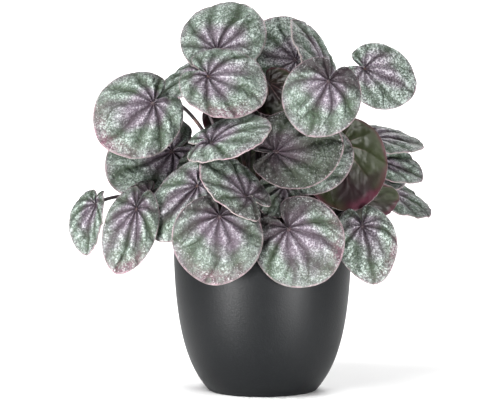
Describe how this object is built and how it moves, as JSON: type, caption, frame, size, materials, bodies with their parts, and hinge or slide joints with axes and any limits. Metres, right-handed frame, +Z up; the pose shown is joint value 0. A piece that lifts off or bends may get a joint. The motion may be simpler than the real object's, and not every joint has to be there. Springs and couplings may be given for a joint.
{
  "type": "potted ripple peperomia",
  "caption": "Small house plant with thick, deeply rippled heart-shaped leaves on slender stalks, standing in a smooth satin charcoal pot.",
  "frame": {"origin": "middle of the pot's flat foot, at the surface that the pot stands on", "axes": "+Z up along the pot's axis; the plant's best side looks towards -Y, and +X is to the right seen from there"},
  "size_m": [0.2278, 0.1662, 0.2429],
  "materials": {
    "pot": "satin",
    "potting_mix": "matte",
    "leaf": "satin"
  },
  "bodies": {
    "root": {"pot": "pot", "soil": "potting_mix", "leaf_01": "leaf", "leaf_02": "leaf", "leaf_03": "leaf", "leaf_04": "leaf", "leaf_05": "leaf", "leaf_06": "leaf", "leaf_07": "leaf", "leaf_08": "leaf", "leaf_09": "leaf", "leaf_10": "leaf", "leaf_11": "leaf", "leaf_12": "leaf", "leaf_13": "leaf", "leaf_14": "leaf", "leaf_15": "leaf", "leaf_16": "leaf", "leaf_17": "leaf", "leaf_18": "leaf", "leaf_19": "leaf", "leaf_20": "leaf", "leaf_21": "leaf", "leaf_22": "leaf", "leaf_23": "leaf", "leaf_24": "leaf", "leaf_25": "leaf", "leaf_26": "leaf", "leaf_27": "leaf", "leaf_28": "leaf", "leaf_29": "leaf", "leaf_30": "leaf", "leaf_31": "leaf", "leaf_32": "leaf", "leaf_33": "leaf", "leaf_34": "leaf", "leaf_35": "leaf", "leaf_36": "leaf", "leaf_37": "leaf", "leaf_38": "leaf", "leaf_39": "leaf", "leaf_40": "leaf", "leaf_41": "leaf", "leaf_42": "leaf", "leaf_43": "leaf", "leaf_44": "leaf"}
  },
  "joints": []
}
